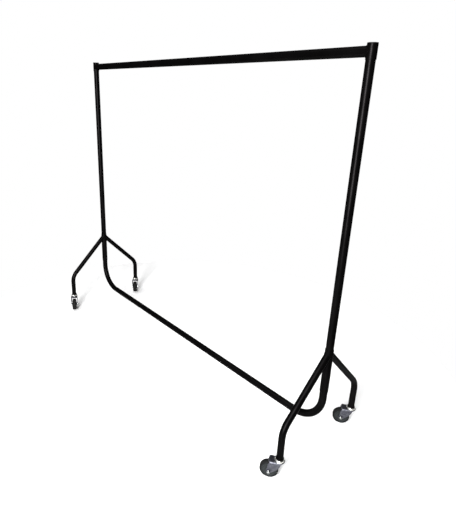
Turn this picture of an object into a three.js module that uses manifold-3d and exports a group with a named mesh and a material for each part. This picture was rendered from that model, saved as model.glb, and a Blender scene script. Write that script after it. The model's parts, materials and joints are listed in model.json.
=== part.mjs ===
// Rolling clothes rack: a knock-down garment rail of welded steel tube on four swivel casters.
// Millimetres, +Z up. X runs along the hanging rail, -Y is the front. The origin is on the floor,
// midway between the two uprights and under the middle of the overall depth, casters included.
import * as THREE from "three";
import { mergeVertices } from "three/addons/utils/BufferGeometryUtils.js";
import Module from "manifold-3d";

const wasm = await Module();
wasm.setup();

// ---------------------------------------------------------------- driving dimensions
const RAIL_CLEAR_LENGTH = 1829; // hanging rail between its two end sleeves, six feet
const RAIL_HEIGHT = 1585; // axis of the hanging rail above the floor
const FRAME_DEPTH = 500; // front leg axis to back leg axis
const BOTTOM_RAIL_HEIGHT = 120; // axis of the bottom rail above the floor
const LEG_JOINT_HEIGHT = 478; // where the slanted leg axes meet the upright's axis
const KNEE_HEIGHT = 228; // where a leg's slanted and vertical axes would meet

const RAIL_OD = 35;
const RAIL_WALL = 1.5;
const UPRIGHT_OD = 32; // uprights and the U-shaped bottom rail are the same tube
const UPRIGHT_WALL = 1.5;
const SLEEVE_WALL = 1.2;
const SLEEVE_SLIP = 0.3; // radial slip fit of a tube in a sleeve
const LEG_OD = 28;
const LEG_WALL = 1.5;
const WELD_GAP = 0.3; // left between pieces that are welded or pressed together

const RAIL_SLEEVE_BELOW = 25; // end sleeve below the rail's axis
const RAIL_SLEEVE_ABOVE = 22; // end sleeve above the rail's axis
const CAP_THICKNESS = 3;
const CAP_PLUG_DEPTH = 10;
const CAP_PLUG_WALL = 1.6;
const LEG_SLEEVE_BELOW = 181; // leg sleeve below the leg joint
const LEG_SLEEVE_ABOVE = 16; // leg sleeve above the leg joint
const RAIL_END_INSERTION = 95; // bottom rail's end inside the leg sleeve

const BOTTOM_BEND_RADIUS = 140;
const KNEE_BEND_RADIUS = 90;

const WHEEL_DIAMETER = 75;
const TREAD_WIDTH = 24;
const TREAD_THICKNESS = 6.5;
const TREAD_CORNER_DROP = 2.5; // chamfer at each side of the tread, across the radius
const TREAD_CORNER_WIDTH = 4; // and along the axle
const HUB_SIDE_GAP = 2; // hub to fork leg
const HUB_BOSS_RADIUS = 11;
const HUB_DRAFT = 1.5; // the hub boss widens towards the web
const RIM_LAND = 5; // flat rim outside the web
const RIM_DRAFT = 2;
const WEB_RECESS = 2; // web's face below the rim's face
const WHEEL_TRAIL = 38; // swivel axis to axle, seen from above
const WHEEL_TO_CROWN = 8.5; // tread to the underside of the fork's crown
const RACE_HEIGHT = 9; // top of the crown to the underside of the leg's socket
const FORK_SHEET = 2.5;
const FORK_SIDE_GAP = 5; // tread to fork leg
const FORK_SPLAY = 2.5; // each fork leg stands this much wider at its shoulder
const FORK_SHOULDER = 6;
const FORK_TAPER_END = 14; // the legs are parallel below this height over the axle
const FORK_BOSS_RADIUS = 9.5;
const CROWN_FRONT = 41; // crown ahead of the swivel axis
const CROWN_CORNER = 12; // radius of the crown's two front corners, seen from above
const CROWN_LIP = 5; // depth of the crown's edge at its back
const HEEL_X = -8; // where the fork's back edge turns down
const HEEL_DROP = 12;
const CALF_X = 8; // where that edge turns forward again to the axle
const CALF_DROP = 36;
const CHIN_OVERHANG = 3; // the fork's front edge leans out below the crown
const CHIN_DROP = 26;
const FORK_RAKE = 0.45; // the legs' edges run forward this much for each step down
const OVERCUT = 1; // how far a cutter reaches past what it cuts

const SOCKET_LIP = 3; // socket flange beyond the leg's outside
const SOCKET_FLANGE = 4;
const SOCKET_DEPTH = 42;
const STEM_RADIUS = 5.5;
const STEM_FIT = 0.4; // radial gap round the stem in the socket and the cup
const STEM_LENGTH = 38; // above the underside of the socket
const GROOVE_BELOW_TIP = 7;
const GROOVE_LENGTH = 5;
const GROOVE_DEPTH = 1;
const CUP_RADIUS = 19.5;
const CUP_SHEET = 1.8;
const CUP_SHOULDER = 3;
const BALL_RADIUS = 2.2;
const BALL_CIRCLE_RADIUS = 13;
const BALL_COUNT = 8;
const CAGE_THICKNESS = 0.8;
const CAGE_LAND = 0.8; // cage beyond the balls, inside and outside
const RIVET_RADIUS = 9;
const RIVET_HEIGHT = 3;
const RIVET_TAPER = 2;
const RUNNING_GAP = 0.4; // between pieces that turn on each other

const AXLE_RADIUS = 4;
const BUSH_RADIUS = 6;
const HEX_RADIUS = 7.4; // across corners of the bolt head and nut, halved
const HEX_HEAD = 5.3;
const HEX_NUT = 6.5;
const BOLT_PROUD = 4; // bolt end beyond its nut

// Which way each wheel trails at rest, in degrees from +X towards +Y.
const CASTERS = {
  front_left: { side: -1, end: -1, heading: -28 },
  front_right: { side: 1, end: -1, heading: 216 },
  back_left: { side: -1, end: 1, heading: -38 },
  back_right: { side: 1, end: 1, heading: 214 },
};

const ROUND_TUBE = 20; // sides of the big tubes and of the sleeves they slip into
const ROUND_LEG = 16; // sides of the legs and of what fits in them
const ROUND_SMALL = 12;
const ROUND_TYRE = 24;
const BEND_STEPS = 5;

// ---------------------------------------------------------------- derived sizes
const SLEEVE_BORE_RADIUS = UPRIGHT_OD / 2 + SLEEVE_SLIP;
const SLEEVE_RADIUS = SLEEVE_BORE_RADIUS + SLEEVE_WALL;
const UPRIGHT_X = RAIL_CLEAR_LENGTH / 2 + SLEEVE_RADIUS;
const LEG_Y = FRAME_DEPTH / 2;
const SLEEVE_TOP = RAIL_HEIGHT + RAIL_SLEEVE_ABOVE;
const LEG_SLEEVE_BOTTOM = LEG_JOINT_HEIGHT - LEG_SLEEVE_BELOW;
const LEG_SLEEVE_TOP = LEG_JOINT_HEIGHT + LEG_SLEEVE_ABOVE;
const RAIL_END_TOP = LEG_SLEEVE_BOTTOM + RAIL_END_INSERTION;
const UPRIGHT_BOTTOM = RAIL_END_TOP + WELD_GAP;
const UPRIGHT_TOP = SLEEVE_TOP - CAP_PLUG_DEPTH - WELD_GAP;
const AXLE_HEIGHT = WHEEL_DIAMETER / 2;
const RIM_RADIUS = WHEEL_DIAMETER / 2 - TREAD_THICKNESS;
const CROWN_TOP = WHEEL_DIAMETER + WHEEL_TO_CROWN + FORK_SHEET;
const CASTER_HEIGHT = CROWN_TOP + RACE_HEIGHT; // floor to the underside of the leg's socket
const CUP_TOP = CASTER_HEIGHT - WELD_GAP;
const STEM_BORE_RADIUS = STEM_RADIUS + STEM_FIT;
const LEG_BOTTOM = CASTER_HEIGHT + SOCKET_FLANGE + WELD_GAP;
const FORK_INNER_AXLE = TREAD_WIDTH / 2 + FORK_SIDE_GAP;
const FORK_HALF_AXLE = FORK_INNER_AXLE + FORK_SHEET; // outer half width at the axle
const FORK_HALF_TOP = FORK_HALF_AXLE + FORK_SPLAY; // outer half width at the shoulders
const HUB_HALF = FORK_INNER_AXLE - HUB_SIDE_GAP;
const CROWN_BACK = FORK_HALF_TOP; // the crown is a half circle behind the swivel axis

// ---------------------------------------------------------------- materials
const finish = (color, roughness, metalness) =>
  new THREE.MeshStandardMaterial({ color, roughness, metalness });
const blackPaint = finish(0x101012, 0.3, 0.2);
const blackPlastic = finish(0x0b0b0c, 0.5, 0);
const zincPlate = finish(0xa8a9b4, 0.35, 0.9);
const brightSteel = finish(0xd4d5d2, 0.2, 1);
const hubPlastic = finish(0x2c3133, 0.5, 0);
const tyreRubber = finish(0x0d0e10, 0.75, 0);

const rack = new THREE.Group();
function add(name, geometry, material, parent = rack) {
  const mesh = new THREE.Mesh(geometry, material);
  mesh.name = name;
  parent.add(mesh);
  return mesh;
}

// ---------------------------------------------------------------- solids and booleans
function solid(geometry) {
  const bare = geometry.index ? geometry.toNonIndexed() : geometry.clone();
  bare.deleteAttribute("normal");
  bare.deleteAttribute("uv");
  const merged = mergeVertices(bare, 1e-4);
  return new wasm.Manifold(
    new wasm.Mesh({
      numProp: 3,
      vertProperties: merged.attributes.position.array,
      triVerts: new Uint32Array(merged.index.array),
    }),
  );
}

function geometryOf(body) {
  const mesh = body.getMesh();
  const geometry = new THREE.BufferGeometry();
  geometry.setAttribute("position", new THREE.BufferAttribute(mesh.vertProperties, 3));
  geometry.setIndex(new THREE.BufferAttribute(mesh.triVerts, 1));
  geometry.computeVertexNormals();
  return geometry;
}

// A body turned about the Z axis, from [radius, height] points. An open profile starts and ends
// on the axis, and a ring's profile closes on itself.
function turned(points, sides) {
  const onAxis = points[0][0] === 0;
  const loop = onAxis ? points : [...points, points[0]];
  const profile = loop.map(([r, z]) => new THREE.Vector2(r, z));
  return new THREE.LatheGeometry(profile, sides).rotateX(Math.PI / 2);
}

function tube(outer, inner, low, high, sides) {
  return turned([[inner, low], [outer, low], [outer, high], [inner, high]], sides);
}

function rod(radius, low, high, sides) {
  return turned([[0, low], [radius, low], [radius, high], [0, high]], sides);
}

// ---------------------------------------------------------------- bent tubes
// A path of straight runs joined by round bends, with one step along each run.
class BentPath extends THREE.Curve {
  constructor(corners, bendRadius) {
    super();
    this.stations = [];
    const last = corners.length - 1;
    const direction = (i) => corners[i + 1].clone().sub(corners[i]).normalize();
    this.stations.push({ at: corners[0], along: direction(0) });
    for (let i = 1; i < last; i++) this.bend(corners[i], direction(i - 1), direction(i), bendRadius);
    this.stations.push({ at: corners[last], along: direction(last - 1) });
  }

  bend(corner, before, after, radius) {
    const angle = before.angleTo(after);
    const setback = radius * Math.tan(angle / 2);
    const start = corner.clone().addScaledVector(before, -setback);
    const inward = after.clone().addScaledVector(before, -after.dot(before)).normalize();
    for (let k = 0; k <= BEND_STEPS; k++) {
      const turn = (angle * k) / BEND_STEPS;
      const at = start
        .clone()
        .addScaledVector(before, radius * Math.sin(turn))
        .addScaledVector(inward, radius * (1 - Math.cos(turn)));
      const along = before
        .clone()
        .multiplyScalar(Math.cos(turn))
        .addScaledVector(inward, Math.sin(turn));
      this.stations.push({ at, along });
    }
  }

  station(u) {
    return this.stations[Math.round(u * (this.stations.length - 1))];
  }

  getPointAt(u) {
    return this.station(u).at.clone();
  }

  getTangentAt(u) {
    return this.station(u).along.clone();
  }
}

function circleOutline(radius, sides, PathClass) {
  const points = Array.from({ length: sides }, (_, i) => {
    const a = (2 * Math.PI * i) / sides;
    return new THREE.Vector2(radius * Math.cos(a), radius * Math.sin(a));
  });
  return new PathClass(points);
}

function bentTube(corners, bendRadius, outerDiameter, wall, sides) {
  const path = new BentPath(corners, bendRadius);
  const section = circleOutline(outerDiameter / 2, sides, THREE.Shape);
  section.holes.push(circleOutline(outerDiameter / 2 - wall, sides, THREE.Path));
  return new THREE.ExtrudeGeometry(section, {
    steps: path.stations.length - 1,
    extrudePath: path,
    curveSegments: 1,
  });
}

// ---------------------------------------------------------------- frame
const SIDES = { left: -1, right: 1 };

// A welded tube end is shaped to the round sleeve that it meets.
function coped(geometry, sleevesAt) {
  const reach = SLEEVE_RADIUS + WELD_GAP;
  return sleevesAt.reduce((body, x) => {
    const cutter = rod(reach, 0, SLEEVE_TOP + RAIL_OD, ROUND_TUBE).translate(x, 0, 0);
    return body.subtract(solid(cutter));
  }, solid(geometry));
}

function topRail() {
  const blank = tube(RAIL_OD / 2, RAIL_OD / 2 - RAIL_WALL, -UPRIGHT_X, UPRIGHT_X, ROUND_TUBE)
    .rotateY(Math.PI / 2)
    .translate(0, 0, RAIL_HEIGHT);
  const cut = coped(blank, [-UPRIGHT_X, UPRIGHT_X]);
  return geometryOf(longestPiece(cut));
}

// A cope can leave slivers beyond the sleeve, which aren't part of the tube.
function longestPiece(body) {
  return body.decompose().reduce((a, b) => (a.volume() > b.volume() ? a : b));
}

function bottomRail() {
  const end = (x, z) => new THREE.Vector3(x, 0, z);
  const corners = [
    end(-UPRIGHT_X, RAIL_END_TOP),
    end(-UPRIGHT_X, BOTTOM_RAIL_HEIGHT),
    end(UPRIGHT_X, BOTTOM_RAIL_HEIGHT),
    end(UPRIGHT_X, RAIL_END_TOP),
  ];
  return bentTube(corners, BOTTOM_BEND_RADIUS, UPRIGHT_OD, UPRIGHT_WALL, ROUND_TUBE);
}

function leg(x, end) {
  const corners = [
    new THREE.Vector3(x, 0, LEG_JOINT_HEIGHT),
    new THREE.Vector3(x, end * LEG_Y, KNEE_HEIGHT),
    new THREE.Vector3(x, end * LEG_Y, LEG_BOTTOM),
  ];
  const blank = bentTube(corners, KNEE_BEND_RADIUS, LEG_OD, LEG_WALL, ROUND_LEG);
  return geometryOf(longestPiece(coped(blank, [x])));
}

function sleeveCap() {
  const plug = SLEEVE_BORE_RADIUS - WELD_GAP;
  const bottom = SLEEVE_TOP - CAP_PLUG_DEPTH;
  const seat = SLEEVE_TOP + WELD_GAP;
  const top = seat + CAP_THICKNESS;
  return turned(
    [
      [0, seat],
      [plug - CAP_PLUG_WALL, seat],
      [plug - CAP_PLUG_WALL, bottom],
      [plug, bottom],
      [plug, seat],
      [SLEEVE_RADIUS, seat],
      [SLEEVE_RADIUS, top],
      [0, top],
    ],
    ROUND_TUBE,
  );
}

add("top_rail", topRail(), blackPaint);
add("bottom_rail", bottomRail(), blackPaint);
for (const [side, sign] of Object.entries(SIDES)) {
  const post = new THREE.Group();
  post.position.x = sign * UPRIGHT_X;
  rack.add(post);
  const upright = tube(
    UPRIGHT_OD / 2,
    UPRIGHT_OD / 2 - UPRIGHT_WALL,
    UPRIGHT_BOTTOM,
    UPRIGHT_TOP,
    ROUND_TUBE,
  );
  const railSleeve = tube(
    SLEEVE_RADIUS,
    SLEEVE_BORE_RADIUS,
    RAIL_HEIGHT - RAIL_SLEEVE_BELOW,
    SLEEVE_TOP,
    ROUND_TUBE,
  );
  const legSleeve = tube(
    SLEEVE_RADIUS,
    SLEEVE_BORE_RADIUS,
    LEG_SLEEVE_BOTTOM,
    LEG_SLEEVE_TOP,
    ROUND_TUBE,
  );
  add(`upright_${side}`, upright, blackPaint, post);
  add(`rail_sleeve_${side}`, railSleeve, blackPaint, post);
  add(`leg_sleeve_${side}`, legSleeve, blackPaint, post);
  add(`sleeve_cap_${side}`, sleeveCap(), blackPlastic, post);
}

// ---------------------------------------------------------------- caster, built heading along +X
// with its swivel axis at x = 0 and its axle along Y at x = WHEEL_TRAIL
function stemSocket() {
  const plug = LEG_OD / 2 - LEG_WALL - WELD_GAP;
  const flange = LEG_OD / 2 + SOCKET_LIP;
  const step = CASTER_HEIGHT + SOCKET_FLANGE;
  return turned(
    [
      [STEM_BORE_RADIUS, CASTER_HEIGHT],
      [flange, CASTER_HEIGHT],
      [flange, step],
      [plug, step],
      [plug, CASTER_HEIGHT + SOCKET_DEPTH],
      [STEM_BORE_RADIUS, CASTER_HEIGHT + SOCKET_DEPTH],
    ],
    ROUND_LEG,
  );
}

// The stem is upset under the crown into a rivet, and has a groove near its tip.
function stem() {
  const rivetTop = CROWN_TOP - FORK_SHEET - RUNNING_GAP;
  const tip = CASTER_HEIGHT + STEM_LENGTH;
  const grooveTop = tip - GROOVE_BELOW_TIP;
  const grooveBottom = grooveTop - GROOVE_LENGTH;
  return turned(
    [
      [0, rivetTop - RIVET_HEIGHT],
      [RIVET_RADIUS - RIVET_TAPER, rivetTop - RIVET_HEIGHT],
      [RIVET_RADIUS, rivetTop],
      [STEM_RADIUS, rivetTop],
      [STEM_RADIUS, grooveBottom],
      [STEM_RADIUS - GROOVE_DEPTH, grooveBottom + GROOVE_DEPTH],
      [STEM_RADIUS - GROOVE_DEPTH, grooveTop - GROOVE_DEPTH],
      [STEM_RADIUS, grooveTop],
      [STEM_RADIUS, tip],
      [0, tip],
    ],
    ROUND_SMALL,
  );
}

// The fixed upper race: a pressed cup, open below over the balls.
function racewayCup() {
  const rim = CROWN_TOP + RUNNING_GAP;
  const shoulder = CUP_RADIUS - CUP_SHOULDER;
  return turned(
    [
      [STEM_BORE_RADIUS, CUP_TOP - CUP_SHEET],
      [shoulder - CUP_SHEET, CUP_TOP - CUP_SHEET],
      [CUP_RADIUS - CUP_SHEET, CUP_TOP - CUP_SHEET - CUP_SHOULDER],
      [CUP_RADIUS - CUP_SHEET, rim],
      [CUP_RADIUS, rim],
      [CUP_RADIUS, CUP_TOP - CUP_SHOULDER],
      [shoulder, CUP_TOP],
      [STEM_BORE_RADIUS, CUP_TOP],
    ],
    ROUND_LEG,
  );
}

// Balls and the flat cage that spaces them, as one ring.
function ballRing() {
  const height = CROWN_TOP + RUNNING_GAP + BALL_RADIUS;
  const cageHalf = CAGE_THICKNESS / 2;
  const width = BALL_RADIUS + CAGE_LAND;
  const [outer, inner] = [BALL_CIRCLE_RADIUS + width, BALL_CIRCLE_RADIUS - width];
  let ring = solid(tube(outer, inner, height - cageHalf, height + cageHalf, ROUND_SMALL));
  for (let i = 0; i < BALL_COUNT; i++) {
    const a = (2 * Math.PI * i) / BALL_COUNT;
    const ball = new THREE.SphereGeometry(BALL_RADIUS, 6, 3)
      .translate(BALL_CIRCLE_RADIUS * Math.cos(a), BALL_CIRCLE_RADIUS * Math.sin(a), height);
    ring = ring.add(solid(ball));
  }
  return geometryOf(ring);
}

// Sheet bent into a U across the wheel, as a section in Y and Z.
function forkSection() {
  const kneeHeight = AXLE_HEIGHT + FORK_TAPER_END;
  const bottom = AXLE_HEIGHT - FORK_BOSS_RADIUS - OVERCUT;
  const section = new THREE.Shape();
  const half = (inset, sign) => ({
    top: sign * (FORK_HALF_TOP - inset),
    low: sign * (FORK_HALF_AXLE - inset),
    z: CROWN_TOP - inset,
    flat: sign * (FORK_HALF_TOP - FORK_SHOULDER),
    drop: CROWN_TOP - FORK_SHOULDER,
  });
  const up = (h) => {
    section.lineTo(h.low, kneeHeight);
    section.lineTo(h.top, h.drop);
    section.quadraticCurveTo(h.top, h.z, h.flat, h.z);
  };
  const down = (h) => {
    section.lineTo(h.flat, h.z);
    section.quadraticCurveTo(h.top, h.z, h.top, h.drop);
    section.lineTo(h.low, kneeHeight);
    section.lineTo(h.low, bottom);
  };
  section.moveTo(half(0, -1).low, bottom);
  up(half(0, -1));
  down(half(0, 1));
  section.lineTo(half(FORK_SHEET, 1).low, bottom);
  up(half(FORK_SHEET, 1));
  down(half(FORK_SHEET, -1));
  section.closePath();
  return section;
}

// Side outline of the fork, in X and Z: a long crown that narrows down to a round axle boss.
function forkSide() {
  const outline = new THREE.Shape();
  const bossFrom = 1.18 * Math.PI;
  const bossTo = 2.03 * Math.PI;
  outline.moveTo(-CROWN_BACK - OVERCUT, CROWN_TOP + OVERCUT);
  outline.lineTo(-CROWN_BACK - OVERCUT, CROWN_TOP - CROWN_LIP);
  outline.lineTo(HEEL_X, CROWN_TOP - HEEL_DROP);
  outline.lineTo(CALF_X, CROWN_TOP - CALF_DROP);
  outline.absarc(WHEEL_TRAIL, AXLE_HEIGHT, FORK_BOSS_RADIUS, bossFrom, bossTo, false);
  outline.lineTo(CROWN_FRONT + CHIN_OVERHANG, CROWN_TOP - CHIN_DROP);
  outline.lineTo(CROWN_FRONT, CROWN_TOP + OVERCUT);
  outline.closePath();
  return outline;
}

// Plan of the crown, in X and Y: a half circle behind the swivel, and round corners over the wheel.
function forkPlan() {
  const outline = new THREE.Shape();
  const quarter = Math.PI / 2;
  const cornerX = CROWN_FRONT - CROWN_CORNER;
  const cornerY = FORK_HALF_TOP - CROWN_CORNER;
  outline.moveTo(cornerX, -FORK_HALF_TOP);
  outline.absarc(cornerX, -cornerY, CROWN_CORNER, -quarter, 0, false);
  outline.absarc(cornerX, cornerY, CROWN_CORNER, 0, quarter, false);
  outline.absarc(0, 0, CROWN_BACK, quarter, 3 * quarter, false);
  outline.closePath();
  return outline;
}

function fork() {
  const flat = (shape, depth) =>
    new THREE.ExtrudeGeometry(shape, { depth, bevelEnabled: false, curveSegments: 4 });
  const length = CROWN_BACK + CROWN_FRONT + CHIN_OVERHANG + 2 * OVERCUT;
  const span = 2 * FORK_HALF_TOP + 2 * OVERCUT;
  // An extrusion runs along +Z; the turns lay the section across Y and Z, and the side view in X and Z.
  const channel = flat(forkSection(), length)
    .rotateX(Math.PI / 2)
    .rotateZ(Math.PI / 2)
    .translate(-CROWN_BACK - OVERCUT, 0, 0);
  const side = flat(forkSide(), span)
    .rotateX(Math.PI / 2)
    .translate(0, span / 2, 0);
  const rake = new THREE.Matrix4().makeShear(0, 0, 0, 0, -FORK_RAKE, 0);
  const plan = flat(forkPlan(), CROWN_TOP + OVERCUT)
    .applyMatrix4(rake)
    .translate(FORK_RAKE * CROWN_TOP, 0, 0);
  const axleHole = rod(AXLE_RADIUS + WELD_GAP, -span, span, ROUND_SMALL)
    .rotateX(Math.PI / 2)
    .translate(WHEEL_TRAIL, 0, AXLE_HEIGHT);
  const stemHole = rod(STEM_RADIUS + RUNNING_GAP, 0, CROWN_TOP + OVERCUT, ROUND_SMALL);
  const body = solid(channel)
    .intersect(solid(side))
    .intersect(solid(plan))
    .subtract(solid(axleHole))
    .subtract(solid(stemHole));
  return geometryOf(body);
}

// Pieces on the axle are turned about Z, then laid along Y.
const onAxle = (geometry) => geometry.rotateX(-Math.PI / 2).translate(WHEEL_TRAIL, 0, AXLE_HEIGHT);

function axleBolt() {
  const headFace = FORK_HALF_AXLE + WELD_GAP;
  const tip = FORK_HALF_AXLE + 2 * WELD_GAP + HEX_NUT + BOLT_PROUD;
  const shank = solid(rod(AXLE_RADIUS, -headFace - HEX_HEAD / 2, tip, ROUND_SMALL));
  const head = solid(rod(HEX_RADIUS, -headFace - HEX_HEAD, -headFace, 6));
  return onAxle(geometryOf(shank.add(head)));
}

function axleNut() {
  const face = FORK_HALF_AXLE + WELD_GAP;
  const bore = rod(AXLE_RADIUS + WELD_GAP, 0, face + 2 * HEX_NUT, ROUND_SMALL);
  return onAxle(geometryOf(solid(rod(HEX_RADIUS, face, face + HEX_NUT, 6)).subtract(solid(bore))));
}

function axleBush() {
  const half = FORK_INNER_AXLE - WELD_GAP;
  return onAxle(tube(BUSH_RADIUS, AXLE_RADIUS + WELD_GAP, -half, half, ROUND_SMALL));
}

function wheelCore() {
  const bore = BUSH_RADIUS + RUNNING_GAP;
  const webOuter = RIM_RADIUS - RIM_LAND;
  const rimHalf = TREAD_WIDTH / 2;
  const webHalf = rimHalf - WEB_RECESS;
  const outer = [
    [HUB_BOSS_RADIUS, HUB_HALF],
    [HUB_BOSS_RADIUS + HUB_DRAFT, webHalf],
    [webOuter, webHalf],
    [webOuter + RIM_DRAFT, rimHalf],
    [RIM_RADIUS, rimHalf],
  ];
  const low = outer.map(([r, y]) => [r, -y]);
  const high = outer.reverse();
  return onAxle(turned([[bore, -HUB_HALF], ...low, ...high, [bore, HUB_HALF]], ROUND_TYRE));
}

// The tread's flats touch the floor, so its corners stand a little outside the wheel's radius.
function tyre() {
  const corner = 1 / Math.cos(Math.PI / ROUND_TYRE);
  const outer = (WHEEL_DIAMETER / 2) * corner;
  const inner = (RIM_RADIUS + WELD_GAP) * corner;
  const half = TREAD_WIDTH / 2;
  const profile = [
    [inner, -half],
    [outer - TREAD_CORNER_DROP, -half],
    [outer, -half + TREAD_CORNER_WIDTH],
    [outer, half - TREAD_CORNER_WIDTH],
    [outer - TREAD_CORNER_DROP, half],
    [inner, half],
  ];
  return onAxle(turned(profile, ROUND_TYRE).rotateZ(Math.PI / ROUND_TYRE));
}

for (const [corner, { side, end, heading }] of Object.entries(CASTERS)) {
  const x = side * UPRIGHT_X;
  add(`leg_${corner}`, leg(x, end), blackPaint);
  const caster = new THREE.Group();
  caster.position.set(x, end * LEG_Y, 0);
  rack.add(caster);
  add(`stem_socket_${corner}`, stemSocket(), blackPlastic, caster);
  add(`caster_stem_${corner}`, stem(), brightSteel, caster);
  add(`raceway_cup_${corner}`, racewayCup(), brightSteel, caster);

  const swivel = new THREE.Group();
  swivel.rotation.z = THREE.MathUtils.degToRad(heading);
  caster.add(swivel);
  add(`ball_ring_${corner}`, ballRing(), brightSteel, swivel);
  add(`caster_fork_${corner}`, fork(), zincPlate, swivel);
  add(`axle_bolt_${corner}`, axleBolt(), brightSteel, swivel);
  add(`axle_nut_${corner}`, axleNut(), brightSteel, swivel);
  add(`axle_bush_${corner}`, axleBush(), brightSteel, swivel);
  add(`wheel_core_${corner}`, wheelCore(), hubPlastic, swivel);
  add(`tyre_${corner}`, tyre(), tyreRubber, swivel);
}

// The casters trail forward of the legs, so the middle of the overall depth is ahead of the uprights.
const overall = new THREE.Box3().setFromObject(rack, true);
rack.position.y = -overall.getCenter(new THREE.Vector3()).y;

export default rack;
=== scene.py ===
"""Rolling clothes rack: the fine model of its tubes, welds, caps and casters, and their finishes.

Metres, +Z up, X along the hanging rail, -Y to the front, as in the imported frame.
"""
import json
import math

import bpy
from mathutils import Matrix, Vector


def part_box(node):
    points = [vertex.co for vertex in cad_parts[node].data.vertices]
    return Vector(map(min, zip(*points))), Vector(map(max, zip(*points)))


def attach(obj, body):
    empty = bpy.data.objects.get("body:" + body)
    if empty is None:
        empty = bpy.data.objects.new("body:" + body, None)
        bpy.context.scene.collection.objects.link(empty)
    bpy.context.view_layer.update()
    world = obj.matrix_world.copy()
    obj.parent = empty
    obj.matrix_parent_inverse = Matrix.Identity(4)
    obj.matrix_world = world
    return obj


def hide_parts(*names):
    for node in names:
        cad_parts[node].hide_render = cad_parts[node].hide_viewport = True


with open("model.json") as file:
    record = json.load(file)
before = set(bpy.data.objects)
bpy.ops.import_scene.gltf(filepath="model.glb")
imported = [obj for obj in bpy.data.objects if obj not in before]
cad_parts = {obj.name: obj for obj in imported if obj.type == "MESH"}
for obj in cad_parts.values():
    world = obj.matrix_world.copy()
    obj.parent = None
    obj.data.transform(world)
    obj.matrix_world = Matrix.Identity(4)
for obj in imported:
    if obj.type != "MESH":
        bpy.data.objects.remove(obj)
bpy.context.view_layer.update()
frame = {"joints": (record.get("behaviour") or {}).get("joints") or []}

MM = 0.001
TURN = 2 * math.pi
UP = Vector((0, 0, 1))
SIDES = ("left", "right")
CORNERS = {
    "front_left": ("left", -1),
    "front_right": ("right", -1),
    "back_left": ("left", 1),
    "back_right": ("right", 1),
}

# ---------------------------------------------------------------- sizes read from the frame


def middle(node):
    low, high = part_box(node)
    return (low + high) / 2


def half_size(node):
    low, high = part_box(node)
    return (high - low) / 2


def lowest(node):
    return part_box(node)[0].z


def highest(node):
    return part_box(node)[1].z


JOINTS = {joint["name"]: joint for joint in frame["joints"]}
POST = {side: middle(f"upright_{side}") for side in SIDES}
POST_Y = POST["left"].y
RAIL_Z = middle("top_rail").z
RAIL_RADIUS = half_size("top_rail").z
POST_RADIUS = half_size("upright_left").x
SLEEVE_RADIUS = half_size("rail_sleeve_left").x
LEG_RADIUS = half_size("leg_front_left").x
LEG_OUT = abs(middle("stem_socket_back_left").y - POST_Y)
LEG_BOTTOM = lowest("leg_front_left")
BOTTOM_RAIL_Z = lowest("bottom_rail") + POST_RADIUS
BOTTOM_RAIL_TOP = highest("bottom_rail")
FLANGE_RADIUS = half_size("stem_socket_front_left").x
SOCKET_LOW, SOCKET_HIGH = lowest("stem_socket_front_left"), highest("stem_socket_front_left")
CUP_RADIUS = half_size("raceway_cup_front_left").x
CUP_LOW, CUP_HIGH = lowest("raceway_cup_front_left"), highest("raceway_cup_front_left")
CROWN_TOP = highest("caster_fork_front_left")
WHEEL_RADIUS = half_size("tyre_front_left").z
AXLE_Z = Vector(JOINTS["wheel_front_left_roll"]["pos_m"]).z

# ---------------------------------------------------------------- sizes that the boxes don't give

TUBE_WALL = 1.5 * MM
SLEEVE_WALL = 1.2 * MM
WELD_GAP = 0.3 * MM
LEG_JOINT_Z = 478 * MM
KNEE_Z = 228 * MM
KNEE_BEND = 90 * MM
BOTTOM_BEND = 140 * MM
WELD_BEAD = 2.1 * MM
TUBE_FACETS = 72
TURNED_FACETS = 96
WHEEL_TRAIL = 38 * MM
SHEET = 2.5 * MM
FORK_HALF_TOP = 22 * MM
FORK_HALF_AXLE = 19.5 * MM
FORK_BOSS = 9.5 * MM
FORK_SHOULDER = 6 * MM
FORK_RAKE = 0.45
CROWN_FRONT = 41 * MM
CROWN_CORNER = 12 * MM
HEEL = (-8 * MM, 12 * MM)  # forward of the swivel and below the crown's top, as for the next one
CALF = (8 * MM, 36 * MM)
CHIN_DROP = 26 * MM
RACE_WALL = 1.8 * MM
RACE_SHOULDER = 3 * MM
BALL_RADIUS = 2.2 * MM
BALL_CIRCLE = 13 * MM
BALL_COUNT = 8
STEM_RADIUS = 5.5 * MM
STEM_BORE = 5.9 * MM
AXLE_RADIUS = 4 * MM
AXLE_BORE = 4.3 * MM
BUSH_RADIUS = 6 * MM
HUB_BORE = 6.4 * MM
HUB_HALF = 15 * MM
TREAD_HALF = 12 * MM
TREAD_THICKNESS = 6.5 * MM
HEX_CORNER = 7.4 * MM
HEAD_HEIGHT = 5.3 * MM
NUT_HEIGHT = 6.5 * MM
NUT_SLACK = 0.6 * MM  # both of the nut's gaps together
THREAD_SHOWING = 4 * MM
THREAD_PITCH = 1.25 * MM
THREAD_TURNS = 9
RUNNING_GAP = 0.4 * MM

# ---------------------------------------------------------------- modelling helpers


def only(obj):
    """Selects this object alone and makes it the active one."""
    bpy.ops.object.select_all(action="DESELECT")
    obj.select_set(True)
    bpy.context.view_layer.objects.active = obj
    return obj


def edit(obj):
    """Goes into edit mode with every point selected."""
    only(obj)
    bpy.ops.object.mode_set(mode="EDIT")
    bpy.ops.mesh.select_mode(type="VERT")
    bpy.ops.mesh.select_all(action="SELECT")


def leave_edit():
    bpy.ops.object.mode_set(mode="OBJECT")


def close_up():
    """In edit mode, merges what touches and turns every face outwards."""
    bpy.ops.mesh.select_all(action="SELECT")
    bpy.ops.mesh.remove_doubles(threshold=2e-6)
    bpy.ops.mesh.normals_make_consistent(inside=False)


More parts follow.
